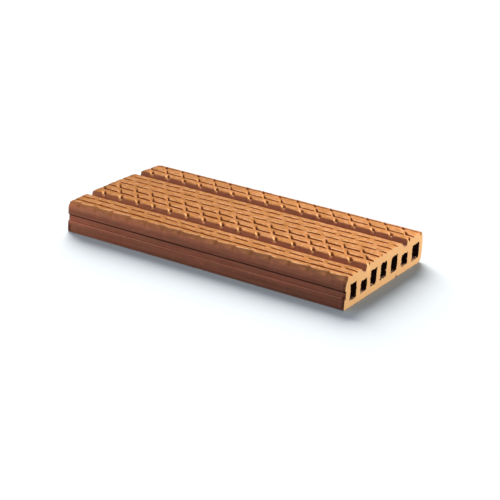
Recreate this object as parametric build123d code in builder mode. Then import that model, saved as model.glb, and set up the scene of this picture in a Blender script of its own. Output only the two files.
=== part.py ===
from build123d import *
import os

# A hollow floor slab of fired clay, pushed through a die as one body and cut
# to length. X runs along the slab, Y across it and Z up, with the origin in
# the middle of the bottom face. The near side, at -Y, has a recessed seat
# and the far side, at +Y, the rounded nose that lies in the next slab's seat.
# The top is stepped: each ridge falls a little towards +Y and the next one
# starts at a lip, so that mortar and plaster key to it.

# Overall size, in millimetres
length = 500.0
width = 250.0
middle_height = 53.5
crown = 3.2

# Walls from the near side to the far side, and the cells between them. The
# cells share the width that the walls leave, and the last one is the widest.
walls = (16.0, 13.5, 11.5, 13.5, 15.0, 15.0, 15.5, 12.0)
cell_shares = (18.5, 18.5, 18.5, 19.0, 19.5, 20.5, 23.5)
grooved_cells = (1, 5)
tall_cell_height = 25.4
low_cell_height = 18.8
cell_corner = 1.8
floor_at_middle = 12.8

# Two deep grooves in the top, each over a low cell
groove_depth = 10.0
groove_floor = 6.0
groove_near_run = 6.5
groove_far_run = 3.0
groove_round = 2.5
groove_lip_round = 2.5

# Scores along the top, five between the grooves and two near either side
middle_scores = 5
score_pitch = 20.0
near_score_setbacks = (18.5, 34.5)
far_score_setbacks = (8.5, 33.5)
score_depth = 2.1
score_lean = 0.6
ridge_fall = 6.5

# Slanted nicks, rolled into every lip in step along the slab. The roll runs on
# a little past the place where a nick comes out of the top.
nick_pitch = 32.0
nick_slant = 0.8
near_nick_start = 29.0
middle_nick_start = 12.0
far_nick_start = 23.0
nick_left = 6.0
nick_right = 3.0
nick_depth = 1.9
deep_nick_depth = 3.6
long_nick = 12.0
short_nick = 4.5
nick_run_on = 1.2

# Near side, a seat between a foot and an overhanging cheek
foot_top = 17.5
seat_bottom = 19.5
seat_setback = 3.0
cheek_bottom = 29.5
cheek_setback = 0.5
shoulder_width = 4.8
shoulder_height = 8.0

# Far side, a nose that is fullest at mid height
nose_height = 27.0
nose_setback = 5.0
heel_radius = 11.0

half_length = length / 2
half_width = width / 2
crown_radius = (half_width**2 + crown**2) / (2 * crown)


def top_height(y):
    """Height of the crowned top at a place across the slab."""
    return middle_height - crown_radius + (crown_radius**2 - y**2) ** 0.5


def cell_height(index):
    """Height of a cell, low where a groove lies over it."""
    return low_cell_height if index in grooved_cells else tall_cell_height


def cell_middle(index):
    """Height of a cell's middle, whose floor follows the crown of the top."""
    sag = middle_height - top_height(cell_places[index])
    return floor_at_middle - sag + cell_height(index) / 2


cell_room = width - sum(walls)
cell_widths = [share * cell_room / sum(cell_shares) for share in cell_shares]
cell_places = [
    sum(walls[: index + 1]) + sum(cell_widths[:index]) + cell_widths[index] / 2 - half_width
    for index in range(len(cell_widths))
]
groove_places = [cell_places[index] for index in grooved_cells]
groove_lips = [place + groove_floor / 2 + groove_far_run for place in groove_places]

near_scores = [setback - half_width for setback in near_score_setbacks]
far_scores = [half_width - setback for setback in far_score_setbacks]
middle_scores_at = [
    sum(groove_places) / 2 + (index - (middle_scores - 1) / 2) * score_pitch
    for index in range(middle_scores)
]
near_edge = shoulder_width - half_width


def groove_profile(place):
    """Draw a deep groove, whose near lip lies a step lower than its far lip."""
    near_lip = place - groove_floor / 2 - groove_near_run
    far_lip = place + groove_floor / 2 + groove_far_run
    bottom = top_height(place) - groove_depth
    with BuildSketch(Plane.YZ.offset(-half_length), mode=Mode.PRIVATE) as groove:
        Polygon(
            (near_lip - ridge_fall, top_height(near_lip - ridge_fall)),
            (near_lip, top_height(near_lip) - score_depth),
            (place - groove_floor / 2, bottom),
            (place + groove_floor / 2, bottom),
            (far_lip, top_height(far_lip)),
            (far_lip, middle_height + score_depth),
            (near_lip - ridge_fall, middle_height + score_depth),
            align=None,
        )
        fillet(groove.vertices().group_by(Axis.Y)[0], groove_round)
    return groove.sketch_local


def cut_score(lip):
    """Cut the fall of one ridge and the lip of the next."""
    Polygon(
        (lip - ridge_fall, top_height(lip - ridge_fall)),
        (lip - score_lean, top_height(lip) - score_depth),
        (lip, top_height(lip)),
        (lip, middle_height + score_depth),
        (lip - ridge_fall, middle_height + score_depth),
        align=None,
        mode=Mode.SUBTRACT,
    )


def press_nicks(lip, start, reach, depth, front):
    """Cut one row of slanted nicks that end at a lip, deepest at its front."""
    first = (start - nick_slant * lip + half_length) % nick_pitch - half_length
    count = int((half_length + nick_left - first) // nick_pitch) + 1
    rise = score_depth / depth
    with BuildSketch(Plane.XZ.offset(-front)) as wedges:
        with Locations(*[(first + step * nick_pitch, top_height(lip)) for step in range(count)]):
            Polygon(
                (0, -depth),
                (nick_right * (1 + rise), depth * rise),
                (-nick_left * (1 + rise), depth * rise),
                align=None,
            )
    slope = Vector(-nick_slant, 1, depth / reach)
    run = slope.length * reach * nick_run_on
    extrude(wedges.sketch, amount=run, dir=slope, mode=Mode.SUBTRACT)


with BuildPart() as clay_slab:
    with BuildSketch(Plane.YZ.offset(-half_length)) as section:
        with BuildLine():
            near_side = Polyline(
                (-half_width, 0),
                (-half_width, foot_top),
                (-half_width + seat_setback, seat_bottom),
                (-half_width + seat_setback, cheek_bottom),
                (-half_width + cheek_setback, cheek_bottom),
                (-half_width + cheek_setback, top_height(half_width) - shoulder_height),
                (near_edge, top_height(near_edge)),
            )
            nose_top = (half_width - nose_setback, top_height(half_width - nose_setback))
            ThreePointArc(near_side @ 1, (0, middle_height), nose_top)
            TangentArc((half_width, nose_height), nose_top, tangent=(0, 1))
            Line((half_width, nose_height), (half_width, heel_radius))
            heel = RadiusArc(
                (half_width, heel_radius), (half_width - heel_radius, 0), heel_radius
            )
            Line(heel @ 1, near_side @ 0)
        make_face()

        for place in groove_places:
            add(groove_profile(place), mode=Mode.SUBTRACT)
        lips = [
            vertex
            for vertex in section.vertices()
            for lip in groove_lips
            if abs(vertex.X - lip) < groove_far_run and vertex.Y > middle_height - groove_depth / 2
        ]
        fillet(lips, groove_lip_round)

        for lip in near_scores + middle_scores_at + far_scores:
            cut_score(lip)

        for index, place in enumerate(cell_places):
            with Locations((place, cell_middle(index))):
                RectangleRounded(
                    cell_widths[index], cell_height(index), cell_corner, mode=Mode.SUBTRACT
                )
    extrude(amount=length)

    # Near strip, with short nicks in its scores and in the edge of the slab
    for lip in [near_edge] + near_scores:
        press_nicks(lip, near_nick_start, short_nick, nick_depth, lip - score_lean)

    # Middle strip, with long nicks in its near half and short ones beyond
    for lip in middle_scores_at:
        reach = long_nick if lip < -score_pitch / 2 else short_nick
        press_nicks(lip, middle_nick_start, reach, nick_depth, lip - score_lean)

    # Far strip, with long nicks all over
    for lip in far_scores:
        press_nicks(lip, far_nick_start, long_nick, nick_depth, lip - score_lean)

    # Groove lips, where the nicks run out deepest
    for lip, start in zip(groove_lips, (middle_nick_start, far_nick_start)):
        front = lip - groove_far_run
        press_nicks(lip, start, long_nick, deep_nick_depth, front)

clay_slab.part.label = "clay_slab"
os.makedirs("parts", exist_ok=True)
export_step(clay_slab.part, "parts/clay_slab.step")
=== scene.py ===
from math import inf, radians
from random import Random

import bmesh
import bpy
from bpy.props import FloatProperty, FloatVectorProperty, PointerProperty
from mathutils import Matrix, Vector, noise


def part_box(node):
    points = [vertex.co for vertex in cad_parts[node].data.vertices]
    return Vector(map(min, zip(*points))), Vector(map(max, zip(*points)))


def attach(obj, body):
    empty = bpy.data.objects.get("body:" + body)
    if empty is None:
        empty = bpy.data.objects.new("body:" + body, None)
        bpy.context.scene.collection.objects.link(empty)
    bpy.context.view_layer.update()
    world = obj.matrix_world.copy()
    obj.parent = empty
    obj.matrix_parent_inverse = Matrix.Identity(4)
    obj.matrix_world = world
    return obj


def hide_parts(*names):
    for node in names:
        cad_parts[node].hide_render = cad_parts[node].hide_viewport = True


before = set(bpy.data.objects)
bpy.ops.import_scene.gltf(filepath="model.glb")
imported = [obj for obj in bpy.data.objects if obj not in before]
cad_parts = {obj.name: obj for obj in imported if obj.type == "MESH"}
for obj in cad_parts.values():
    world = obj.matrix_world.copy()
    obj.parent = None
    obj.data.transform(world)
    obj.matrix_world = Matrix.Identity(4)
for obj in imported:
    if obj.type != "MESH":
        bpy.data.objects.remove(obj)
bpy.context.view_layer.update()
slab_low, slab_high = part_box("clay_slab")

bl_info = {
    "name": "Clay floor slab",
    "version": (1, 0, 0),
    "blender": (4, 5, 0),
    "location": "3D View > Sidebar > Clay Slab",
    "description": "Builds a hollow clay floor slab with a scored top, and its stage",
    "category": "Object",
}

MM = 0.001


# Sizes and colours

class SlabSizes(bpy.types.PropertyGroup):
    length: FloatProperty(
        name="Length", description="Length of the slab along its cells",
        default=slab_high.x - slab_low.x, unit="LENGTH",
    )
    width: FloatProperty(
        name="Width", description="Width of the slab across its cells",
        default=slab_high.y - slab_low.y, unit="LENGTH",
    )
    middle_height: FloatProperty(
        name="Height", description="Height of the slab in the middle of its width",
        default=slab_high.z - slab_low.z, unit="LENGTH",
    )
    crown: FloatProperty(
        name="Crown", description="How far the top sinks from the middle to the sides",
        default=3.2 * MM, unit="LENGTH",
    )
    score_depth: FloatProperty(
        name="Score depth", description="Height of the small lips along the top",
        default=2.1 * MM, unit="LENGTH",
    )
    ridge_fall: FloatProperty(
        name="Ridge fall", description="Width over which a ridge falls to the next lip",
        default=6.5 * MM, unit="LENGTH",
    )
    groove_depth: FloatProperty(
        name="Groove depth", description="Depth of the two deep grooves",
        default=10 * MM, unit="LENGTH",
    )
    nick_pitch: FloatProperty(
        name="Nick pitch", description="Distance between nicks along the slab",
        default=32 * MM, unit="LENGTH",
    )
    nick_slant: FloatProperty(
        name="Nick slant", description="How far a nick leans along the slab for each step across",
        default=0.8,
    )
    cell_corner: FloatProperty(
        name="Cell corner", description="Radius in the corners of the cells",
        default=1.8 * MM, unit="LENGTH",
    )
    lip_wave: FloatProperty(
        name="Lip wave", description="How far the lips wander from a straight line",
        default=0.7 * MM, unit="LENGTH",
    )
    row_step: FloatProperty(
        name="Row step", description="Widest spacing of the mesh across the top",
        default=2.6 * MM, unit="LENGTH",
    )


class ClayColours(bpy.types.PropertyGroup):
    rolled: FloatVectorProperty(
        name="Rolled top", description="Colour of the scored and rolled top",
        default=(0.635, 0.255, 0.070), subtype="COLOR", min=0, max=1,
    )
    pale: FloatVectorProperty(
        name="Pale patches", description="Colour of the paler patches of the top",
        default=(0.77, 0.37, 0.18), subtype="COLOR", min=0, max=1,
    )
    # The worn lips' colour is partly wear and partly a painted highlight along the lit lips and edges.
    worn: FloatVectorProperty(
        name="Worn lips", description="Colour where the lips are rubbed",
        default=(0.95, 0.57, 0.29), subtype="COLOR", min=0, max=1,
    )
    skin: FloatVectorProperty(
        name="Skin", description="Colour of the smooth skin on the sides",
        default=(0.470, 0.195, 0.125), subtype="COLOR", min=0, max=1,
    )
    ruddy: FloatVectorProperty(
        name="Ruddy skin", description="Colour of the redder patches of the skin",
        default=(0.500, 0.184, 0.122), subtype="COLOR", min=0, max=1,
    )
    groove: FloatVectorProperty(
        name="Grooves", description="Colour on the walls of the deep grooves",
        default=(0.485, 0.214, 0.130), subtype="COLOR", min=0, max=1,
    )
    # The scores' colour is painted shade: dark red-brown on each step and at the foot of each ridge, where
    # the steps lie in shade.
    score: FloatVectorProperty(
        name="Scores", description="Colour of the steps and of the foot of each ridge",
        default=(0.42, 0.100, 0.006), subtype="COLOR", min=0, max=1,
    )
    cut: FloatVectorProperty(
        name="Cut ends", description="Colour of the wire-cut end faces",
        default=(0.82, 0.455, 0.190), subtype="COLOR", min=0, max=1,
    )
    # Painted shade: the cells' walls are nearly black, darker than the clay, to stand for the shade deep in
    # the cells.
    cell: FloatVectorProperty(
        name="Cells", description="Colour of the walls inside the cells",
        default=(0.038, 0.011, 0.009), subtype="COLOR", min=0, max=1,
    )
    # The hollows' colour is painted shade, for the nicks and gouges and for a few small chips.
    deep: FloatVectorProperty(
        name="Hollows", description="Colour at the foot of a step and in the nicks",
        default=(0.16, 0.045, 0.02), subtype="COLOR", min=0, max=1,
    )
    grain_size: FloatProperty(
        name="Grain size", description="Size of the grains that show in the clay",
        default=1.1 * MM, unit="LENGTH",
    )


class StageSettings(bpy.types.PropertyGroup):
    camera_place: FloatVectorProperty(
        name="Camera place", description="Where the camera stands",
        default=(1.1624, -1.9189, 0.8665), subtype="TRANSLATION", unit="LENGTH",
    )
    camera_turn: FloatVectorProperty(
        name="Camera turn", description="How the camera is turned",
        default=(radians(68.712), radians(-3.063), radians(32.103)),
        subtype="EULER", unit="ROTATION",
    )
    lens: FloatProperty(
        name="Lens", description="Focal length of the camera in millimetres",
        default=110.0,
    )
    key_place: FloatVectorProperty(
        name="Key lamp place", description="Where the key lamp hangs",
        default=(1.46, 0.96, 1.50), subtype="TRANSLATION", unit="LENGTH",
    )
    key_size: FloatProperty(
        name="Key lamp size", description="Side of the key lamp's square",
        default=0.5, unit="LENGTH",
    )
    key_power: FloatProperty(
        name="Key lamp power", description="Power of the key lamp",
        default=65.0, subtype="POWER",
    )
    fill_place: FloatVectorProperty(
        name="Fill lamp place", description="Where the small lamp at the left of the near side hangs",
        default=(-0.55, -0.60, 0.22), subtype="TRANSLATION", unit="LENGTH",
    )
    fill_size: FloatProperty(
        name="Fill lamp size", description="Side of the fill lamp's square",
        default=0.2, unit="LENGTH",
    )
    fill_power: FloatProperty(
        name="Fill lamp power", description="Power of the fill lamp",
        default=1.05, subtype="POWER",
    )
    fill_colour: FloatVectorProperty(
        name="Fill lamp colour", description="Colour of the fill lamp",
        default=(1.0, 0.82, 0.66), subtype="COLOR", min=0, max=1,
    )
    sky_place: FloatVectorProperty(
        name="Sky light place", description="Where the light that throws the shadow comes from",
        default=(-2.65, 2.85, 2.5), subtype="TRANSLATION", unit="LENGTH",
    )
    sky_angle: FloatProperty(
        name="Sky light angle", description="How broad the sky light is, which softens the shadow",
        default=radians(44), subtype="ANGLE",
    )
    sky_strength: FloatProperty(
        name="Sky light strength", description="Strength of the sky light",
        default=9.4,
    )
    haze_place: FloatVectorProperty(
        name="Haze light place", description="Where the light that thins the shadow comes from",
        default=(-2.2, -1.8, 1.6), subtype="TRANSLATION", unit="LENGTH",
    )
    haze_angle: FloatProperty(
        name="Haze light angle", description="How broad the haze light is",
        default=radians(100), subtype="ANGLE",
    )
    haze_strength: FloatProperty(
        name="Haze light strength", description="Strength of the haze light",
        default=1.5,
    )
    floor_light: FloatVectorProperty(
        name="Floor light colour", description="Colour of the sky light and of the haze light",
        default=(1.0, 0.78, 0.63), subtype="COLOR", min=0, max=1,
    )
    floor_reach: FloatProperty(
        name="Floor reach", description="How far the floor spreads to each side",
        default=9.0, unit="LENGTH",
    )
    floor_seen: FloatVectorProperty(
        name="Floor colour", description="Colour of the floor as the camera sees it",
        default=(0.50, 0.65, 0.80), subtype="COLOR", min=0, max=1,
    )
    floor_cast: FloatVectorProperty(
        name="Floor glow", description="Colour of the floor as it lights the slab",
        default=(0.19, 0.22, 0.25), subtype="COLOR", min=0, max=1,
    )
    room_colour: FloatVectorProperty(
        name="Room colour", description="Colour of the light from all round",
        default=(0.88, 0.94, 1.0), subtype="COLOR", min=0, max=1,
    )
    room_strength: FloatProperty(
        name="Room strength", description="Strength of the light from all round",
        default=0.22,
    )


# Section of the slab, across it and up

WALLS = [wall * MM for wall in (16.0, 13.5, 11.5, 13.5, 15.0, 15.0, 15.5, 12.0)]
CELL_WIDTHS = [cell * MM for cell in (18.5, 18.5, 18.5, 19.0, 19.5, 20.5, 23.5)]
GROOVED_CELLS = (1, 5)
CELL_FLOOR = 12.8 * MM
TALL_CELL = 25.4 * MM
LOW_CELL = 18.8 * MM

FOOT_TOP = 17.8 * MM
SEAT_BOTTOM = 18.8 * MM
SEAT_SETBACK = 3 * MM
CHEEK_BOTTOM = 29.5 * MM
CHEEK_SETBACK = 0.5 * MM
SHOULDER_WIDTH = 4.8 * MM
SHOULDER_HEIGHT = 8 * MM
NOSE_HEIGHT = 27 * MM
NOSE_SETBACK = 5 * MM
NOSE_FACETS = 4

GROOVE_FLOOR = 6 * MM
GROOVE_NEAR_REACH = 9.5 * MM
GROOVE_FAR_REACH = 6.6 * MM
GROOVE_SPREADS = (0.0, 2.0 * MM)
NEAR_SHARE = 0.8
SCORE_LEAN = 0.6 * MM

# Scores from the near edge, from the middle between the grooves and from the far side

NEAR_SCORES = [score * MM for score in (14.4, 29.7)]
MIDDLE_SCORES = [score * MM for score in (-39.2, -19, 1, 20, 38)]
FAR_SCORES = [score * MM for score in (33.5, 8.5)]

# How far each score has faded, from near to far, and below 0 where it is deeper

FADED = (0.0, 0.15, -0.1, -0.1, 0.1, 0.15, 0.15, 0.15, 0.35)

# Radii of the section's corners

FOOT_ROUND = 0.8 * MM
HEEL_ROUND = 11 * MM
NOSE_ROUND = 1.0 * MM
SHARP_ROUND = 0.5 * MM
SHOULDER_ROUND = 3 * MM
EDGE_ROUND = 0.6 * MM
SCORE_ROUND = 0.45 * MM
GROOVE_ROUND = 2.0 * MM
GROOVE_LIP_ROUND = 2.2 * MM

# Where the roll first marks each strip along the slab, and how far the nicked scores go

NEAR_START = 29 * MM
MIDDLE_START = 13.3 * MM
FAR_START = 22.4 * MM
LAST_NICKED = -10 * MM

# Shapes of the roll's marks

LONG_NICK = {
    "reach": 10 * MM, "depth": 3.0 * MM, "left": 6.6 * MM, "flat": 0.9 * MM, "right": 2.9 * MM, "step": 0.6,
}
SLIM_NICK = {
    "reach": 13 * MM, "depth": 3.4 * MM, "left": 5.0 * MM, "flat": 0.7 * MM, "right": 2.5 * MM, "step": 0.5,
}
GROOVE_GOUGE = {"middle": 2.2 * MM, "front": 3.4 * MM, "back": 6.5 * MM, "toothed": True}
EDGE_GOUGE = {"middle": -1.6 * MM, "front": 6.5 * MM, "back": 2.6 * MM, "toothed": False}
NEAR_DRIFT = 3.8 * MM
SCORE_DRIFT = 1.6 * MM


class Section:
    """The slab's section and the lines of its scores, grooves and nicks."""

    def __init__(self, sizes):
        self.sizes = sizes
        self.half_width = sizes.width / 2
        self.crown_radius = (self.half_width**2 + sizes.crown**2) / (2 * sizes.crown)
        self.cells = []
        place = -self.half_width
        for wall, cell in zip(WALLS, CELL_WIDTHS):
            self.cells.append(place + wall + cell / 2)
            place += wall + cell
        self.grooves = [self.cells[index] for index in GROOVED_CELLS]
        self.spreads = dict(zip(self.grooves, GROOVE_SPREADS))
        self.near_edge = SHOULDER_WIDTH - self.half_width
        middle = sum(self.grooves) / 2
        self.near_scores = [self.near_edge + score for score in NEAR_SCORES]
        self.middle_scores = [middle + score for score in MIDDLE_SCORES]
        self.far_scores = [self.half_width - score for score in FAR_SCORES]
        self.lips = self.near_scores + self.middle_scores + self.far_scores

    def top(self, y):
        """Height of the crowned top at a place across the slab."""
        crown = (self.crown_radius**2 - y**2) ** 0.5 - self.crown_radius
        return self.sizes.middle_height + crown

    def near_lip(self, place):
        """Near lip of the groove at a place, which takes less of its spread than the far lip."""
        return place - GROOVE_NEAR_REACH - self.spreads[place] * NEAR_SHARE

    def far_lip(self, place):
        return place + GROOVE_FAR_REACH + self.spreads[place]

    def cell_corners(self, index):
        """The four corners of a cell, whose floor follows the crown."""
        half = CELL_WIDTHS[index] / 2
        height = LOW_CELL if index in GROOVED_CELLS else TALL_CELL
        y = self.cells[index]
        floor = CELL_FLOOR + self.top(y) - self.sizes.middle_height
        ceiling = floor + height
        return [(y - half, floor), (y + half, floor), (y + half, ceiling), (y - half, ceiling)]

    def score(self, lip):
        """Corners at one score with their roundings, from its lip towards the near side."""
        fall = lip - self.sizes.ridge_fall
        foot = self.top(lip) - self.sizes.score_depth
        halfway = lip - (SCORE_LEAN + self.sizes.ridge_fall) / 2
        return [
            (lip, self.top(lip), SCORE_ROUND),
            (lip - SCORE_LEAN, foot, 0),
            (halfway, (foot + self.top(fall)) / 2, 0),
            (fall, self.top(fall), 0),
        ]

    def groove(self, place):
        """Corners at one deep groove with their roundings, from its far lip to its near lip."""
        near_lip = self.near_lip(place)
        far_lip = self.far_lip(place)
        half_floor = GROOVE_FLOOR / 2 + self.spreads[place] / 2
        bottom = self.top(place) - self.sizes.groove_depth
        fall = near_lip - self.sizes.ridge_fall
        return [
            (far_lip, self.top(far_lip), GROOVE_LIP_ROUND),
            (place + half_floor, bottom, GROOVE_ROUND),
            (place - half_floor, bottom, GROOVE_ROUND),
            (near_lip, self.top(near_lip) - self.sizes.score_depth, GROOVE_ROUND),
            (fall, self.top(fall), 0),
        ]

    def nose(self):
        """Corners of the far side's arc, from where it leaves the upright up to the top."""
        rise = self.top(self.half_width - NOSE_SETBACK) - NOSE_HEIGHT
        radius = (rise**2 + NOSE_SETBACK**2) / (2 * NOSE_SETBACK)
        corners = []
        for step in range(NOSE_FACETS + 1):
            height = rise * step / NOSE_FACETS
            back = radius - (radius**2 - height**2) ** 0.5
            rounding = NOSE_ROUND if step == NOSE_FACETS else 0
            corners.append((self.half_width - back, NOSE_HEIGHT + height, rounding))
        return corners

    def outline(self):
        """Corners of the outline with their roundings, round from the near foot."""
        near = -self.half_width
        corners = [(near, 0, FOOT_ROUND), (self.half_width, 0, HEEL_ROUND)] + self.nose()
        lines = [self.score(lip) for lip in self.lips]
        lines += [self.groove(place) for place in self.grooves]
        for line in sorted(lines, key=lambda line: -line[0][0]):
            corners += line
        corners += [
            (self.near_edge, self.top(self.near_edge), EDGE_ROUND),
            (near + CHEEK_SETBACK, self.top(near) - SHOULDER_HEIGHT, SHOULDER_ROUND),
            (near + CHEEK_SETBACK, CHEEK_BOTTOM, SHARP_ROUND),
            (near + SEAT_SETBACK, CHEEK_BOTTOM, SHARP_ROUND),
            (near + SEAT_SETBACK, SEAT_BOTTOM, 0),
            (near, FOOT_TOP, SHARP_ROUND),
        ]
        return corners

    def strips(self):
        """The three strips of the top: where each ends, and what was rolled into its lips."""
        first, second = self.grooves
        near = [
            Blur(self.near_scores[0], 0.35),
            Blur(self.near_scores[1], 1.0),
            Drift(self.near_edge, NEAR_DRIFT),
        ]
        middle = [Gouge(self.far_lip(first), **GROOVE_GOUGE)]
        for lip in self.middle_scores:
            if lip < LAST_NICKED:
                middle.append(Nick(lip, **LONG_NICK))
            else:
                middle.append(Blur(lip, 1.0))
                middle.append(Drift(lip, SCORE_DRIFT))
        far = [
            Gouge(self.far_lip(second), **GROOVE_GOUGE),
            Nick(self.far_scores[0], **SLIM_NICK),
            Gouge(self.far_scores[1], **EDGE_GOUGE),
        ]
        return [
            Strip(first, NEAR_START, near),
            Strip(second, MIDDLE_START, middle),
            Strip(self.half_width, FAR_START, far),
        ]


class Strip:
    """One strip of the top, up to a groove or the far side, rolled with one row of marks."""

    def __init__(self, end, start, marks):
        self.end = end
        self.start = start
        self.marks = marks


# What the roll marks into the lips

def ramp(value, low, high):
    """0 below low and 1 above high."""
    return max(0.0, min(1.0, (value - low) / (high - low)))


def hump(value, low, risen, falling, high):
    """0 below low and above high, and 1 from risen to falling."""
    return ramp(value, low, risen) * (1 - ramp(value, falling, high))


class Mark:
    """Something rolled into one lip of the top, which leaves everything else as it is.

    A place along the slab is measured from the middle of the nearest mark.
    """

    def __init__(self, lip):
        self.lip = lip

    def press(self, section, along, y, z, dark):
        """Height after the roll has passed, and how much painted shade lies there."""
        return z, dark

    def is_tooth(self, along, y, sunk):
        """Whether a place, so far below the top, lies on a tooth that hangs over a groove and is painted
        pale as a highlight.
        """
        return False

    def shift(self, pitch, along, y):
        """How far a place is pushed across the slab."""
        return 0.0


class Nick(Mark):
    """A row of nicks at a lip: a pale trough that deepens to the right, then a steep dark flank."""

    STEP_WIDTH = 0.9 * MM
    FRONT = 1.1 * MM

    def __init__(self, lip, reach, depth, left, flat, right, step):
        super().__init__(lip)
        self.reach = reach
        self.depth = depth
        self.left = left
        self.flat = flat
        self.right = right
        self.step = step

    def press(self, section, along, y, z, dark):
        if not self.lip - self.FRONT <= y <= self.lip + self.reach:
            return z, dark
        share = self.step * ramp(along, -self.left, self.STEP_WIDTH - self.left)
        share += (1 - self.step) * ramp(along, -self.left, 0)
        share -= ramp(along, self.flat, self.right)
        back = max(0.0, y - self.lip) / self.reach
        pressed = section.top(self.lip) - self.depth * (share - back**2)
        if pressed >= z:
            return z, dark
        # Painted shade on the steep right flank and in the trough it shadows.
        shade = hump(along, -0.6 * MM, 0.4 * MM, self.right, self.right + 0.6 * MM)
        return pressed, max(dark * 0.5, shade * ramp(z - pressed, 0.2 * MM, 1.0 * MM))


class Gouge(Mark):
    """A row of round hollows at a lip. Over a groove, their clay hangs down as teeth that are painted pale
    as a highlight.
    """

    DEPTH = 5.2 * MM
    TOOTH = -2.6 * MM
    TOOTH_HALF = 2.9 * MM
    TOOTH_TAPER = 0.25
    TOOTH_LENGTH = 5 * MM
    TOOTH_REACH = 4 * MM
    OVERHANG = 1.9 * MM
    OVERHANG_LIP = -0.7 * MM
    OVERHANG_REACH = 3.3 * MM

    def __init__(self, lip, middle, front, back, toothed):
        super().__init__(lip)
        self.middle = lip + middle
        self.front = front
        self.back = back
        self.toothed = toothed

    def press(self, section, along, y, z, dark):
        reach = (y - self.middle) / (self.back if y > self.middle else self.front)
        if abs(reach) > 1:
            return z, dark
        share = ramp(along, -6.0 * MM, 0.0) - ramp(along, 1.6 * MM, 3.8 * MM)
        pressed = section.top(self.lip) - self.DEPTH * (share - reach**2)
        if pressed >= z:
            return z, dark
        # Painted shade in the hollow.
        shade = hump(along, -0.9 * MM, 0.1 * MM, 3.4 * MM, 4.0 * MM)
        return pressed, shade * ramp(z - pressed, 0.3 * MM, 1.2 * MM)

    def is_tooth(self, along, y, sunk):
        if not self.toothed or sunk >= self.TOOTH_LENGTH:
            return False
        half = self.TOOTH_HALF - self.TOOTH_TAPER * sunk
        return abs(along - self.TOOTH) < half and abs(y - self.lip) < self.TOOTH_REACH

    def shift(self, pitch, along, y):
        if not self.toothed:
            return 0.0
        share = hump(along, -6.5 * MM, -3.5 * MM, -0.8 * MM, 0.8 * MM)
        across = 1 - abs(y - self.lip - self.OVERHANG_LIP) / self.OVERHANG_REACH
        return -self.OVERHANG * share * max(0.0, min(1.0, 1.5 * across))


class Blur(Mark):
    """A row of marks that close the step at a lip, so that its line breaks into dashes."""

    SUNK = 1.0 * MM
    SLOPE = 0.12
    FRONT = 6 * MM
    BACK = 5 * MM

    def __init__(self, lip, strength):
        super().__init__(lip)
        self.strength = strength

    def press(self, section, along, y, z, dark):
        away = y - self.lip
        if not -self.FRONT <= away <= self.BACK:
            return z, dark
        share = self.strength * hump(along, -6.9 * MM, -6.1 * MM, -0.5 * MM, 3.6 * MM)
        share *= hump(away, -self.FRONT, -4 * MM, 1 * MM, self.BACK)
        level = section.top(y) - self.SUNK + self.SLOPE * away
        return z + (level - z) * share, dark


class Drift(Mark):
    """A lip that falls back a little from each nick to the next, like the teeth of a saw."""

    LEAD = 7 * MM
    TURN = 0.2
    MIDDLE = 0.5 * MM
    REACH = 6 * MM

    def __init__(self, lip, amount):
        super().__init__(lip)
        self.amount = amount

    def shift(self, pitch, along, y):
        near = 1 - abs(y - self.lip - self.MIDDLE) / self.REACH
        if near <= 0:
            return 0.0
        phase = ((along + self.LEAD) % pitch) / pitch
        share = 1 - phase / self.TURN if phase < self.TURN else (phase - self.TURN) / (1 - self.TURN)
        return self.amount * share * min(1.0, 1.6 * near)


# Mesh helpers

WELD = 0.01 * MM
GRAZED = 0.3 * MM
SHARP_ANGLE = radians(38)


def draw_out(bm, corners, start, reach):
    """Join corners into a loop and draw it out along the slab, then round its long edges."""
    loop = [bm.verts.new((start, corner[0], corner[1])) for corner in corners]
    edges = [bm.edges.new(pair) for pair in zip(loop, loop[1:] + loop[:1])]
    drawn = bmesh.ops.extrude_edge_only(bm, edges=edges)["geom"]
    moved = [item for item in drawn if isinstance(item, bmesh.types.BMVert)]
    bmesh.ops.translate(bm, vec=(reach, 0, 0), verts=moved)
    for rounding in sorted({corner[2] for corner in corners} - {0}):
        places = [Vector(corner[:2]) for corner in corners if corner[2] == rounding]
        long_edges = [
            edge for edge in bm.edges
            if edge.calc_length() > reach / 2
            and any((edge.verts[0].co.yz - place).length < WELD for place in places)
        ]
        bmesh.ops.bevel(
            bm, geom=long_edges, offset=rounding, offset_type="OFFSET", affect="EDGES",
            segments=5 if rounding > MM else 2, profile=0.5, material=-1, clamp_overlap=True,
        )


def slice_rows(bm, geom, place, normal):
    """Slice edges and faces by one plane, and leave out what the plane only grazes."""
    return bmesh.ops.bisect_plane(bm, geom=geom, dist=GRAZED, plane_co=place, plane_no=normal)["geom"]


def slice_along(bm, faces, places, slant):
    """Slice faces at places along X by planes that lean across the slab.

    Each slice only takes up what still lies beyond it, so the work stays small.
    """
    for place in sorted(places):
        cut = bmesh.ops.bisect_plane(
            bm, geom=everything(faces), dist=2 * WELD, plane_co=(place, 0, 0), plane_no=(1, slant, 0)
        )["geom"]
        faces = []
        for item in cut:
            if isinstance(item, bmesh.types.BMFace):
                middle = item.calc_center_median()
                if middle.x + slant * middle.y > place:
                    faces.append(item)


def slice_ends(bm, half, insets):
    """Slice everything a little way in from both ends."""
    geom = everything(bm.faces)
    for inset in insets:
        for side in (-1, 1):
            geom = slice_rows(bm, geom, (side * (half - inset), 0, 0), (1, 0, 0))


def everything(faces):
    """Faces with all their edges and corners, in the same order each run."""
    edges = dict.fromkeys(edge for face in faces for edge in face.edges)
    verts = dict.fromkeys(vert for face in faces for vert in face.verts)
    return [*faces, *edges, *verts]


def move_into(source, target):
    """Add all of one bmesh to another, and free it."""
    mesh = bpy.data.meshes.new("moved")
    source.to_mesh(mesh)
    source.free()
    target.from_mesh(mesh)
    bpy.data.meshes.remove(mesh)


def scaled(place, along, across):
    """A place in units of a length along the slab and another across it, for a noise."""
    return Vector((place.x / along, place.y / across, place.z / across))


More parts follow.
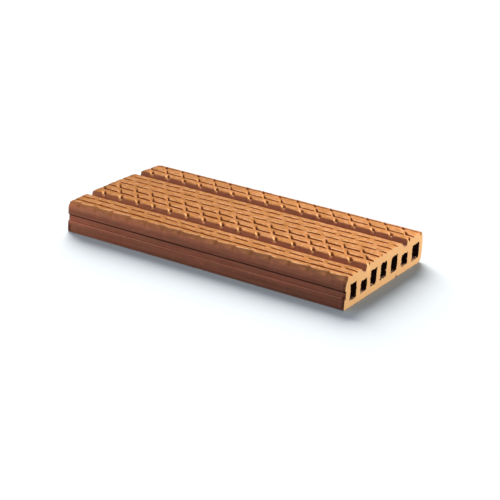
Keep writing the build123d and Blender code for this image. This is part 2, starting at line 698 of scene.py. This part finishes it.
def finished_object(bm, name, material):
    """Turn a bmesh into a shaded piece that rides on the slab's body."""
    bmesh.ops.recalc_face_normals(bm, faces=bm.faces)
    mesh = bpy.data.meshes.new(name)
    bm.to_mesh(mesh)
    bm.free()
    mesh.materials.append(material)
    mesh.shade_smooth()
    mesh.set_sharp_from_angle(angle=SHARP_ANGLE)
    piece = bpy.data.objects.new(name, mesh)
    bpy.context.scene.collection.objects.link(piece)
    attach(piece, "root")
    return piece


# The fired clay

class Amount:
    """A number that changes over a surface, with the usual arithmetic."""

    def __init__(self, recipe, socket):
        self.recipe = recipe
        self.socket = socket

    def __add__(self, other):
        return self.recipe.sum("ADD", self, other)

    __radd__ = __add__

    def __sub__(self, other):
        return self.recipe.sum("SUBTRACT", self, other)

    def __rsub__(self, other):
        return self.recipe.sum("SUBTRACT", other, self)

    def __mul__(self, other):
        return self.recipe.sum("MULTIPLY", self, other)

    __rmul__ = __mul__

    def __abs__(self):
        return self.recipe.sum("ABSOLUTE", self)


class Recipe:
    """The node tree of one material, filled from plain expressions."""

    def __init__(self, name):
        self.material = bpy.data.materials.new(name)
        self.material.use_nodes = True
        self.tree = self.material.node_tree
        self.tree.nodes.clear()

    def node(self, kind, settings, values, output=0):
        """Make a node, with its settings first and then its sockets' values or links."""
        made = self.tree.nodes.new(kind)
        for name, setting in settings.items():
            setattr(made, name, setting)
        for name, value in values.items():
            if isinstance(value, Amount):
                self.tree.links.new(value.socket, made.inputs[name])
            else:
                made.inputs[name].default_value = value
        return Amount(self, made.outputs[output])

    def sum(self, operation, *terms):
        return self.node("ShaderNodeMath", {"operation": operation}, dict(enumerate(terms)))

    def above(self, amount, low, high):
        """0 below low and 1 above high, with a soft step between."""
        return self.node(
            "ShaderNodeMapRange", {"interpolation_type": "SMOOTHSTEP"},
            {"Value": amount, "From Min": low, "From Max": high},
        )

    def below(self, amount, low, high):
        """1 below low and 0 above high, with a soft step between."""
        return 1 - self.above(amount, low, high)

    def within(self, amount, low, risen, falling, high):
        """0 below low and above high, and 1 from risen to falling."""
        return self.above(amount, low, risen) * self.below(amount, falling, high)

    def blend(self, share, first, second, mode="MIX"):
        """Mix two colours."""
        settings = {"data_type": "RGBA", "blend_type": mode, "clamp_factor": True}
        return self.node("ShaderNodeMix", settings, {0: share, 6: first, 7: second}, 2)

    def part(self, vector, axis):
        return self.node("ShaderNodeSeparateXYZ", {}, {0: vector}, axis)

    def attribute(self, name):
        return self.node("ShaderNodeAttribute", {"attribute_name": name}, {}, "Fac")

    def stretched(self, place, along):
        """A place for a pattern that is drawn out along the slab."""
        return self.node("ShaderNodeVectorMath", {"operation": "MULTIPLY"}, {0: place, 1: (along, 1, 1)})

    def mottle(self, place, size, detail=3.0, roughness=0.5):
        """Smooth random cloud whose blots are about as large as size."""
        values = {"Vector": place, "Scale": 1 / size, "Detail": detail, "Roughness": roughness}
        return self.node("ShaderNodeTexNoise", {"noise_dimensions": "3D"}, values, "Fac")

    def finish(self, surface):
        output = self.tree.nodes.new("ShaderNodeOutputMaterial")
        self.tree.links.new(surface.socket, output.inputs["Surface"])
        return self.material


def solid(colour):
    return (*colour, 1.0)


class FiredClay(Recipe):
    """Dry clay body: rolled top, darker skin and wire-cut ends, with painted shade in the cells, nicks,
    steps and undercut, and painted highlights on the lips, teeth and foot edge.
    """

    TOP_RISE = (38 * MM, 41 * MM)
    CELL_ZONE = (8.5 * MM, 9.5 * MM, 38.6 * MM, 39.2 * MM)
    CELL_SPAN = (114 * MM, 115 * MM)
    NOSE_ZONE = (116.5 * MM, 119 * MM)
    CHIP_PLACE = 40 * MM
    NOTCH_HEIGHT = 17.6 * MM
    RELIEF_HEIGHT = 1 * MM

    def __init__(self, colours, section):
        super().__init__("fired_clay_surface")
        self.colours = colours
        self.section = section
        self.half = section.sizes.length / 2
        self.place = self.node("ShaderNodeTexCoord", {}, {}, "Object")
        self.x = self.part(self.place, "X")
        self.y = self.part(self.place, "Y")
        self.z = self.part(self.place, "Z")
        self.find_zones()
        self.find_marks()
        self.mix_patterns()

    def find_zones(self):
        """How far a place belongs to each kind of surface, from 0 to 1."""
        x, y, z = self.x, self.y, self.z
        above, below, within = self.above, self.below, self.within
        edge = self.section.near_edge
        seat = SEAT_SETBACK - self.section.half_width
        normal = self.node("ShaderNodeNewGeometry", {}, {}, "Normal")
        up = self.part(normal, "Z")
        out = abs(self.part(normal, "X"))
        self.cut = above(abs(x), self.half - 3 * MM, self.half - 2 * MM) * above(out, 0.35, 0.6)
        self.grooved = self.find_grooves(up)
        tops = 1 - below(up, 0.68, 0.86) * below(y, edge + 6 * MM, edge + 7 * MM)
        corner = below(x, 6 * MM - self.half, 15 * MM - self.half) * below(y, edge + 4 * MM, edge + 11 * MM)
        rolled = above(z, *self.TOP_RISE) * above(y, edge - 0.6 * MM, edge) * (1 - self.grooved) * tops
        self.rolled = rolled * (1 - corner * 0.8) * below(y, *self.NOSE_ZONE)
        self.inside = within(z, *self.CELL_ZONE) * below(abs(y), *self.CELL_SPAN) * (1 - self.cut)
        self.near = below(y, seat + 0.2 * MM, seat + 1 * MM)
        self.shoulder = above(z, 36 * MM, 43 * MM) * below(y, edge + 5 * MM, edge + 6 * MM)
        from_cheek = z - CHEEK_BOTTOM
        self.cheek = self.near * above(from_cheek, -0.5 * MM, 0.5 * MM)
        # Painted shade under the cheek's overhang.
        self.undercut_shade = self.near * within(from_cheek, -3.3 * MM, -2.3 * MM, 0.1 * MM, 0.5 * MM)
        # Painted highlight along the top edge of the foot.
        self.foot_edge_highlight = self.near * within(z - FOOT_TOP, -0.6 * MM, -0.3 * MM, 0.2 * MM, 0.5 * MM)

    def find_grooves(self, up):
        """The floors and walls of the deep grooves, which lie well below the crowned top."""
        sizes = self.section.sizes
        sunk = sizes.middle_height - self.z - self.y * self.y * (sizes.crown / self.section.half_width**2)
        outside = [
            self.above(abs(self.y - place), 9.0 * MM + spread, 9.6 * MM + spread)
            for place, spread in self.section.spreads.items()
        ]
        flat_top = self.above(up, 0.58, 0.80) * self.below(sunk, 2.8 * MM, 4.2 * MM)
        return (1 - outside[0] * outside[1]) * (1 - flat_top)

    def find_marks(self):
        """The marks that the mesh keeps, and a few dark spots of painted shade for small chips and the
        ragged left end of the foot.
        """
        self.lip = self.attribute("lip")
        self.hollow_shade = self.attribute("hollow_shade")
        self.crumb_and_tooth_highlight = self.attribute("crumb_and_tooth_highlight")
        self.score = self.attribute("score")
        x, y, z, half = self.x, self.y, self.z, self.half
        # Painted shade: dark spots where small chips would lie in shade, and at the ragged left end of the
        # foot.
        chip = self.above(x, half - 3 * MM, half - 1 * MM) * self.below(z, 2.2 * MM, 3.6 * MM)
        chip = chip * self.below(abs(y - self.CHIP_PLACE), 1.8 * MM, 3.0 * MM)
        notch_shade = self.near * self.above(x, half - 6 * MM, half - 4 * MM)
        notch_shade = notch_shade * self.below(abs(z - self.NOTCH_HEIGHT), 1.0 * MM, 2.2 * MM)
        foot_end_shade = self.near * self.below(x, 4 * MM - half, 7 * MM - half) * self.below(z, 9 * MM, 17 * MM)
        self.chip_and_foot_shade = chip + notch_shade + foot_end_shade * 0.8

    def mix_patterns(self):
        """The random patterns of the clay, from broad blots down to its grain."""
        place = self.place
        along = self.stretched(place, 0.022)
        self.blots = self.mottle(place, 60 * MM, 4)
        self.clouds = self.mottle(self.stretched(place, 0.35), 16 * MM, 3, 0.6)
        self.patches = self.mottle(self.stretched(place, 0.45), 9 * MM, 5, 0.7)
        self.flecks = self.mottle(self.stretched(place, 0.6), 4.5 * MM, 2, 0.6)
        self.drag = self.mottle(along, 2.2 * MM, 4, 0.65)
        self.streaks = self.above(self.mottle(along, 4.2 * MM, 2, 0.5), 0.36, 0.64)
        self.grain = self.mottle(place, self.colours.grain_size, 3, 0.7)
        speck = self.node(
            "ShaderNodeTexVoronoi", {"feature": "F1"}, {"Vector": place, "Scale": 1 / (5 * MM)}, "Distance"
        )
        picked = self.above(self.mottle(place, 6 * MM, 1), 0.56, 0.62)
        self.specks = self.below(speck, 0.08, 0.16) * picked

    def colour(self):
        """Colour of the clay, laid from the skin up: the rolled top, wear and painted highlights on the
        lips, painted shade on the steps and in the cells, the cut ends, the pale crumbs and the teeth
        painted pale as a highlight, and last painted shade in the nicks and chips.
        """
        colours = self.colours
        above = self.above
        colour = self.blend(above(self.clouds, 0.36, 0.62), solid(colours.skin), solid(colours.ruddy))
        colour = self.blend(self.shoulder * 0.15, colour, solid(colours.rolled))
        colour = self.blend((1 - self.near) * 0.45, colour, solid(colours.rolled))
        walls = self.grooved * above(self.z, *self.TOP_RISE)
        colour = self.blend(walls, colour, solid(colours.groove))
        pale = above(self.flecks, 0.46, 0.66) * 0.75
        top = self.blend(pale, solid(colours.rolled), solid(colours.pale))
        colour = self.blend(self.rolled, colour, top)
        # Wear and painted highlight on the lips' tops, the near edge and the grooves' near lips.
        wear_and_highlight = self.lip * self.rolled * above(self.patches, 0.38, 0.58) * 0.85
        colour = self.blend(wear_and_highlight, colour, solid(colours.worn))
        # Painted shade on the steps and at the feet of the ridges.
        colour = self.blend(self.score * (1 - self.cut), colour, solid(colours.score))
        # Painted shade in the cells.
        colour = self.blend(self.inside, colour, solid(colours.cell))
        colour = self.blend(self.cut, colour, solid(colours.cut))
        # The crumbs keep the cut colour. The teeth get it as a painted highlight.
        colour = self.blend(self.crumb_and_tooth_highlight, colour, solid(colours.cut))
        # Painted shade in the nicks and gouges.
        colour = self.blend(self.hollow_shade * 0.85 * (1 - self.cut), colour, solid(colours.deep))
        # Painted shade in the small chips and at the left end of the foot.
        return self.blend(self.chip_and_foot_shade, colour, solid(colours.deep))

    def tone(self):
        """How light the clay is, around 1, which multiplies its colour; on the near side part of it is
        painted light and shade.
        """
        z, near = self.z, self.near
        tone = 0.10 + self.blots * 0.18 + self.patches * 0.60 + self.drag * 0.38
        tone = tone + self.grain * 0.26 + self.flecks * 0.44 - self.specks * 0.30
        tone = tone * (1 - near * 0.35) + near * 0.36
        # Painted shade under the cheek, and a painted highlight on the foot's edge.
        tone = tone * (1 - self.undercut_shade * 0.85) + self.foot_edge_highlight * 0.85
        # Painted light and shade on the near side: lighter on the shoulder and the cheek's upper part,
        # darker on the cheek's lower part. The side is also darker towards the bottom.
        tone = tone - near * 0.12 * self.below(z, 0, 20 * MM)
        high = self.above(z, CHEEK_BOTTOM + 3.5 * MM, CHEEK_BOTTOM + 11.5 * MM)
        painted_light_band = self.shoulder * 0.12 + self.cheek * (high * 0.24 - 0.13)
        tone = tone + painted_light_band * (1 - self.rolled)
        arris = near * self.above(self.x, self.half - 6 * MM, self.half - 2.5 * MM)
        arris = arris * self.above(self.flecks, 0.40, 0.50)
        tone = tone - arris * 0.50 + near * (self.streaks * 0.20 - 0.10)
        face = 0.80 + self.blots * 0.14 + self.grain * 0.10 + self.patches * 0.20
        return tone * (1 - self.cut) + self.cut * face

    def build(self):
        """Join colour, roughness and relief into the finished material."""
        tone = self.tone()
        tones = self.node("ShaderNodeCombineColor", {}, {"Red": tone, "Green": tone, "Blue": tone})
        colour = self.blend(1.0, self.colour(), tones, "MULTIPLY")
        roughness = 0.78 + self.grain * 0.14 + self.drag * 0.06
        relief = self.drag * (0.35 * (1 - self.cut)) + self.grain * 0.28
        relief = relief + self.patches * 0.35 - self.specks * 0.5
        bump = self.node(
            "ShaderNodeBump", {},
            {"Height": relief * self.RELIEF_HEIGHT, "Distance": 1.0, "Strength": 0.75}, "Normal",
        )
        body = self.node(
            "ShaderNodeBsdfPrincipled", {},
            {"Base Color": colour, "Roughness": roughness, "Normal": bump, "Specular IOR Level": 0.25},
        )
        return self.finish(body)


# The slab

SEED = 7
BOTTOM_ZONE = 1 * MM
TOP_ZONE = 38 * MM
CRUMBS = 3

# How far the shell is drawn past a pitch, and how finely it and the cells are sliced

SPARE = 10 * MM
CLEAN_CUT = 0.002 * MM
SIDE_ROW = 2.5 * MM
FINE_FROM = 30 * MM
COARSE = 3
STRIP_END = 0.1 * MM
END_ROWS = (1.0 * MM, 3.0 * MM)
CELL_ROW = 1.4 * MM
CELL_END_ROWS = (0.8 * MM, 4 * MM)

# Where the shell is sliced along, from the middle of each mark, in millimetres

PITCH_CUTS = (
    -13, -10.5, -8.5, -7, -6.2, -5.2, -4.2, -3.2, -2.2, -1.2, -0.4,
    0.4, 1.2, 2, 2.8, 3.6, 4.6, 5.6, 7, 9, 11.5, 14.5,
)


class Shades:
    """What each corner of the mesh keeps for its colour, from 0 to 1: wear and painted highlight on the
    lips, painted shade in the hollows and on the steps, the pale crumbs, and the teeth painted pale as a
    highlight.
    """

    def __init__(self, bm):
        layers = bm.verts.layers.float
        self.lip = layers.new("lip")
        self.hollow_shade = layers.new("hollow_shade")
        self.score = layers.new("score")
        self.crumb_and_tooth_highlight = layers.new("crumb_and_tooth_highlight")


class CLAYSLAB_OT_slab(bpy.types.Operator):
    """Build the slab's fired body, with its cells, scores, grooves and nicks"""

    bl_idname = "clayslab.slab"
    bl_label = "Fired slab"

    def execute(self, context):
        section = Section(context.scene.slab_sizes)
        bm = bmesh.new()
        self.draw_shell(bm, section)
        self.press_top(bm, section)
        self.draw_cells(bm, section)
        self.close_ends(bm, section)
        bmesh.ops.recalc_face_normals(bm, faces=bm.faces)
        self.roughen_ends(bm, section)
        material = FiredClay(context.scene.clay_colours, section).build()
        piece = finished_object(bm, "fired_slab", material)
        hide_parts("clay_slab")
        print("fired_slab triangles", sum(len(face.vertices) - 2 for face in piece.data.polygons))
        return {"FINISHED"}

    def draw_shell(self, bm, section):
        """Draw one pitch of the shell between two leaning planes, then repeat it along the slab."""
        sizes = section.sizes
        half = sizes.length / 2
        overhang = sizes.nick_slant * section.half_width + SPARE
        draw_out(bm, section.outline(), -overhang, sizes.nick_pitch + 2 * overhang)
        self.slice_across(bm, section)
        self.clip_pitch(bm, section)
        self.slice_pitch(bm, section)
        self.repeat_pitch(bm, sizes.nick_pitch, int((half + overhang) / sizes.nick_pitch) + 1)
        for side in (-1, 1):
            bmesh.ops.bisect_plane(
                bm, geom=everything(bm.faces), dist=WELD, plane_co=(side * half, 0, 0),
                plane_no=(side, 0, 0), clear_outer=True,
            )
        slice_ends(bm, half, END_ROWS)

    def slice_across(self, bm, section):
        """Slice the shell into long rows, close enough for its lips to wander."""
        sizes = section.sizes
        geom = everything(bm.faces)
        for index in range(1, int(sizes.width / sizes.row_step)):
            place = index * sizes.row_step - section.half_width
            geom = slice_rows(bm, geom, (0, place, 0), (0, 1, 0))
        for index in range(1, int((sizes.middle_height - sizes.crown) / SIDE_ROW)):
            geom = slice_rows(bm, geom, (0, 0, index * SIDE_ROW), (0, 0, 1))

    def clip_pitch(self, bm, section):
        """Keep one pitch of the shell, between two planes that lean like the nicks."""
        sizes = section.sizes
        for place, side in ((0, "clear_inner"), (sizes.nick_pitch, "clear_outer")):
            bmesh.ops.bisect_plane(
                bm, geom=everything(bm.faces), dist=CLEAN_CUT, plane_co=(place, 0, 0),
                plane_no=(1, sizes.nick_slant, 0), **{side: True},
            )

    def slice_pitch(self, bm, section):
        """Slice the pitch along, finely at its marks, and with fewer slices low on the sides."""
        sizes = section.sizes
        zones = ((BOTTOM_ZONE, FINE_FROM, PITCH_CUTS[::COARSE]), (FINE_FROM, inf, PITCH_CUTS))
        low = -section.half_width
        for strip in section.strips():
            for bottom, top, cuts in zones:
                faces = [
                    face for face in bm.faces
                    if low <= face.calc_center_median().y < strip.end + STRIP_END
                    and bottom < max(vert.co.z for vert in face.verts) <= top
                ]
                places = [(strip.start + cut * MM) % sizes.nick_pitch for cut in cuts]
                slice_along(bm, faces, places, sizes.nick_slant)
            low = strip.end + STRIP_END

    def repeat_pitch(self, bm, pitch, count):
        """Copy the pitch to both sides and join the copies."""
        geom = everything(bm.faces)
        for step in range(-count, count + 1):
            if step:
                copied = bmesh.ops.duplicate(bm, geom=geom)["geom"]
                verts = [item for item in copied if isinstance(item, bmesh.types.BMVert)]
                bmesh.ops.translate(bm, vec=(step * pitch, 0, 0), verts=verts)
        bmesh.ops.remove_doubles(bm, verts=bm.verts, dist=WELD)

    def press_top(self, bm, section):
        """Press the roll's marks into the top, and let lips and edges wander a little."""
        noise.seed_set(SEED)
        shades = Shades(bm)
        strips = section.strips()
        for vert in bm.verts:
            z = vert.co.z
            if z < BOTTOM_ZONE:
                continue
            height = z
            shift = 0.0
            if z > TOP_ZONE:
                strip = next((strip for strip in strips if vert.co.y <= strip.end), strips[-1])
                height = self.trace_lips(vert, section, shades)
                height, shift = self.roll(vert, height, section, strip, shades)
                height = self.wear_left_end(vert, height, section)
            self.wander(vert, height, shift, section)
        self.keep_inside(bm, section)

    def trace_lips(self, vert, section, shades):
        """Note the feet of the ridges for painted shade and the lips for wear and painted highlight, and
        fill up the scores that have faded.
        """
        y, z = vert.co.yz
        height = z
        for lip, faded in zip(section.lips, FADED):
            if lip - section.sizes.ridge_fall < y < lip + 1 * MM:
                sunk = max(0.0, section.top(y) - z)
                # Painted shade at the foot of each step, thinner up the fall.
                foot = 1.0 if y > lip - 1.4 * MM else 0.45 if y > lip - 3.8 * MM else 0.0
                vert[shades.score] = foot * ramp(sunk, 0.2 * MM, 0.5 * MM) * (1 - faded)
                height = z + sunk * faded
            # The lip tops, the near edge and the grooves' near lips get wear and a painted highlight.
            if abs(y - lip - 0.3 * MM) < 1.2 * MM and z > section.top(y) - 0.8 * MM:
                vert[shades.lip] = 1.0
        wear_and_highlight = [section.near_lip(place) - 0.3 * MM for place in section.grooves]
        for place in (section.near_edge + 0.8 * MM, *wear_and_highlight):
            if abs(y - place) < 1.3 * MM:
                vert[shades.lip] = 1.0
        return height

    def roll(self, vert, height, section, strip, shades):
        """Height of a corner and its shift across once the strip's marks are pressed in."""
        x, y, z = vert.co
        pitch = section.sizes.nick_pitch
        turn, along = divmod(x + section.sizes.nick_slant * y - strip.start + pitch / 2, pitch)
        jitter = noise.cell(Vector((turn + 0.5, strip.start / MM, 0.5)))
        along += (jitter - 0.5) * MM - pitch / 2
        before = height
        shift = 0.0
        for mark in strip.marks:
            height, vert[shades.hollow_shade] = mark.press(section, along, y, height, vert[shades.hollow_shade])
            shift += mark.shift(pitch, along, y)
        kept = 1 - ramp(abs(height - before), 0.1 * MM, 0.7 * MM)
        vert[shades.score] *= kept
        vert[shades.lip] *= kept
        # The teeth over the grooves are painted pale as a highlight.
        if any(mark.is_tooth(along, y, section.top(y) - z) for mark in strip.marks):
            vert[shades.crumb_and_tooth_highlight] = 0.9
        return height, shift

    def wear_left_end(self, vert, height, section):
        """Rub the top smooth at the left end, where its marks have nearly gone."""
        x, y, z = vert.co
        top = section.top(y)
        half = section.sizes.length / 2
        worn = 0.8 * (1 - ramp(x, 1 * MM - half, 9 * MM - half))
        if z > top - 2.5 * MM:
            height += (min(height, top - 1.2 * MM) - height) * worn
            height += max(0.0, top - 1.6 * MM - height) * worn
        return height

    def wander(self, vert, height, shift, section):
        """Move a corner to its height, a little away from its straight line and down at the ends."""
        half = section.sizes.length / 2
        broad = noise.noise_vector(scaled(vert.co, 15 * MM, 9 * MM))
        small = noise.noise_vector(scaled(vert.co, 4.5 * MM, 4 * MM))
        share = min(1.0, max(0.25, (vert.co.z - 40 * MM) / (6 * MM)))
        wave = section.sizes.lip_wave * share
        end = max(0.0, (abs(vert.co.x) - half + 6 * MM) / (6 * MM))
        vert.co.y += shift + wave * (broad.y + 0.5 * small.y)
        vert.co.z = height - wave * (0.35 + 0.35 * broad.z + 0.25 * small.z) - 0.7 * MM * share * end**2

    def keep_inside(self, bm, section):
        """Hold every corner inside the slab's own box."""
        half = section.sizes.length / 2
        for vert in bm.verts:
            vert.co.x = max(-half, min(half, vert.co.x))
            vert.co.y = max(-section.half_width, min(section.half_width, vert.co.y))
            vert.co.z = max(0.0, min(section.sizes.middle_height, vert.co.z))

    def roughen_ends(self, bm, section):
        """Break the sharp rims where the wire cut the slab, and raise burrs at the cells' mouths."""
        half = section.sizes.length / 2
        bm.normal_update()
        moves = []
        for vert in bm.verts:
            if abs(vert.co.x) < half - 0.9 * MM:
                continue
            rough = noise.noise(scaled(vert.co, 7 * MM, 1.9 * MM))
            broad = noise.noise(scaled(vert.co, 7 * MM, 9 * MM))
            flat = Vector((0, vert.normal.y, vert.normal.z))
            mouth = 9 * MM < vert.co.z < 39 * MM and abs(vert.co.y) < section.half_width - 9 * MM
            chip = 0.5 + 1.2 * broad + 3.3 * rough if mouth else 0.35 + 0.30 * broad + 0.25 * rough
            moves.append((vert, flat * -chip * MM))
        for vert, move in moves:
            vert.co += move
        self.keep_inside(bm, section)

    def draw_cells(self, bm, section):
        """Draw the seven cells through the slab, with the crumbs that the wire left in their mouths."""
        random = Random(SEED)
        half = section.sizes.length / 2
        bores = bmesh.new()
        crumb_and_tooth_highlight = bores.verts.layers.float.new("crumb_and_tooth_highlight")
        for index in range(len(section.cells)):
            corners = section.cell_corners(index)
            move_into(self.draw_bore(corners, section.sizes), bores)
            for side in (-1, 1):
                for _ in range(CRUMBS):
                    self.drop_crumb(bores, crumb_and_tooth_highlight, corners, side, half, random)
        move_into(bores, bm)

    def draw_bore(self, corners, sizes):
        """Draw the walls of one cell, in rows fine enough for ragged mouths."""
        half = sizes.length / 2
        left, floor = corners[0]
        bore = bmesh.new()
        draw_out(bore, [(y, z, sizes.cell_corner) for y, z in corners], -half, sizes.length)
        geom = everything(bore.faces)
        for step in range(1, int(TALL_CELL / CELL_ROW) + 1):
            geom = slice_rows(bore, geom, (0, left + step * CELL_ROW, 0), (0, 1, 0))
            geom = slice_rows(bore, geom, (0, 0, floor + step * CELL_ROW), (0, 0, 1))
        slice_ends(bore, half, CELL_END_ROWS)
        return bore

    def drop_crumb(self, bores, crumb_and_tooth_highlight, corners, side, half, random):
        """Lay one lump of clay on the floor of a cell, just inside one end of the slab."""
        size = random.uniform(0.35, 1.0) * MM
        y = random.uniform(corners[0][0] + 3 * MM, corners[1][0] - 2.5 * MM)
        inset = size + random.uniform(0.0, 1.5) * MM
        place = (side * (half - inset), y, corners[0][1] + 0.4 * size)
        lump = bmesh.ops.create_icosphere(bores, subdivisions=2, radius=size)["verts"]
        bmesh.ops.scale(bores, vec=(1.0, 1.2, 0.9), verts=lump)
        bmesh.ops.translate(bores, vec=place, verts=lump)
        for vert in lump:
            vert[crumb_and_tooth_highlight] = 0.9

    def close_ends(self, bm, section):
        """Fill the two end faces around the mouths of the cells."""
        half = section.sizes.length / 2
        for side in (-1, 1):
            rim = [
                edge for edge in bm.edges
                if edge.is_boundary and all(abs(vert.co.x - side * half) < 10 * WELD for vert in edge.verts)
            ]
            bmesh.ops.triangle_fill(bm, use_beauty=True, use_dissolve=False, edges=rim, normal=(side, 0, 0))


# The stage

SENSOR_WIDTH = 36
CLIP_END = 100


class CLAYSLAB_OT_stage(bpy.types.Operator):
    """Set up the floor, the lamps and the camera"""

    bl_idname = "clayslab.stage"
    bl_label = "Stage"

    def execute(self, context):
        scene = context.scene
        stage = scene.slab_stage
        scene.view_settings.view_transform = "Standard"
        floor = self.lay_floor(scene, stage)
        self.light_slab(scene, stage)
        self.light_floor(scene, stage, floor)
        self.light_room(scene, stage)
        camera = bpy.data.objects.new("camera", bpy.data.cameras.new("camera"))
        scene.collection.objects.link(camera)
        camera.location = stage.camera_place
        camera.rotation_euler = stage.camera_turn
        camera.data.lens = stage.lens
        camera.data.sensor_width = SENSOR_WIDTH
        camera.data.clip_end = CLIP_END
        scene.camera = camera
        return {"FINISHED"}

    def lay_floor(self, scene, stage):
        """A wide sheet of white paper, which looks white to the camera and is dull to the slab."""
        bm = bmesh.new()
        bmesh.ops.create_grid(bm, x_segments=1, y_segments=1, size=stage.floor_reach)
        mesh = bpy.data.meshes.new("floor")
        bm.to_mesh(mesh)
        bm.free()
        floor = bpy.data.objects.new("floor", mesh)
        scene.collection.objects.link(floor)
        paper = Recipe("white_paper")
        seen = paper.node("ShaderNodeLightPath", {}, {}, "Is Camera Ray")
        tint = paper.blend(seen, solid(stage.floor_cast), solid(stage.floor_seen))
        matt = paper.node("ShaderNodeBsdfDiffuse", {}, {"Color": tint})
        mesh.materials.append(paper.finish(matt))
        return floor

    def light_slab(self, scene, stage):
        """A key lamp and a fill lamp that reach the slab alone."""
        slab = bpy.data.collections.new("slab_light")
        slab.objects.link(bpy.data.objects["fired_slab"])
        key = self.hang_lamp(scene, "key_lamp", "AREA", stage.key_place, stage.key_power, slab)
        key.size = stage.key_size
        fill = self.hang_lamp(scene, "fill_lamp", "AREA", stage.fill_place, stage.fill_power, slab)
        fill.size = stage.fill_size
        fill.color = stage.fill_colour

    def light_floor(self, scene, stage, floor):
        """Two broad lights that reach the floor alone, one for the shadow and one that thins it."""
        ground = bpy.data.collections.new("floor_light")
        ground.objects.link(floor)
        sky = self.hang_lamp(scene, "sky_lamp", "SUN", stage.sky_place, stage.sky_strength, ground)
        sky.angle = stage.sky_angle
        sky.color = stage.floor_light
        haze = self.hang_lamp(scene, "haze_lamp", "SUN", stage.haze_place, stage.haze_strength, ground)
        haze.angle = stage.haze_angle
        haze.color = stage.floor_light

    def hang_lamp(self, scene, name, kind, place, energy, receivers):
        """Hang a lamp that looks at the origin and lights only its receivers."""
        lamp = bpy.data.lights.new(name, kind)
        lamp.energy = energy
        hung = bpy.data.objects.new(name, lamp)
        scene.collection.objects.link(hung)
        hung.location = place
        hung.rotation_euler = (-Vector(place)).to_track_quat("-Z", "Y").to_euler()
        hung.visible_camera = False
        hung.light_linking.receiver_collection = receivers
        return lamp

    def light_room(self, scene, stage):
        """A faint light from all round, behind a background that is white to the camera."""
        world = bpy.data.worlds.new("white_room")
        scene.world = world
        world.use_nodes = True
        tree = world.node_tree
        tree.nodes.clear()
        path = tree.nodes.new("ShaderNodeLightPath")
        room = tree.nodes.new("ShaderNodeBackground")
        room.inputs["Color"].default_value = solid(stage.room_colour)
        room.inputs["Strength"].default_value = stage.room_strength
        white = tree.nodes.new("ShaderNodeBackground")
        white.inputs["Color"].default_value = (1, 1, 1, 1)
        mix = tree.nodes.new("ShaderNodeMixShader")
        output = tree.nodes.new("ShaderNodeOutputWorld")
        tree.links.new(path.outputs["Is Camera Ray"], mix.inputs["Fac"])
        tree.links.new(room.outputs[0], mix.inputs[1])
        tree.links.new(white.outputs[0], mix.inputs[2])
        tree.links.new(mix.outputs[0], output.inputs["Surface"])


class CLAYSLAB_PT_panel(bpy.types.Panel):
    bl_idname = "CLAYSLAB_PT_panel"
    bl_label = "Clay Slab"
    bl_space_type = "VIEW_3D"
    bl_region_type = "UI"
    bl_category = "Clay Slab"

    def draw(self, context):
        layout = self.layout
        for operator in OPERATORS:
            layout.operator(operator.bl_idname)
        for group in (context.scene.slab_sizes, context.scene.clay_colours, context.scene.slab_stage):
            box = layout.box()
            for name in group.__annotations__:
                box.prop(group, name)


GROUPS = {"slab_sizes": SlabSizes, "clay_colours": ClayColours, "slab_stage": StageSettings}
OPERATORS = (CLAYSLAB_OT_slab, CLAYSLAB_OT_stage)
CLASSES = (*GROUPS.values(), *OPERATORS, CLAYSLAB_PT_panel)


def register():
    for kind in CLASSES:
        bpy.utils.register_class(kind)
    for name, group in GROUPS.items():
        setattr(bpy.types.Scene, name, PointerProperty(type=group))


def unregister():
    for name in GROUPS:
        delattr(bpy.types.Scene, name)
    for kind in reversed(CLASSES):
        bpy.utils.unregister_class(kind)


def main():
    register()
    bpy.ops.clayslab.slab()
    bpy.ops.clayslab.stage()


if __name__ == "__main__":
    main()
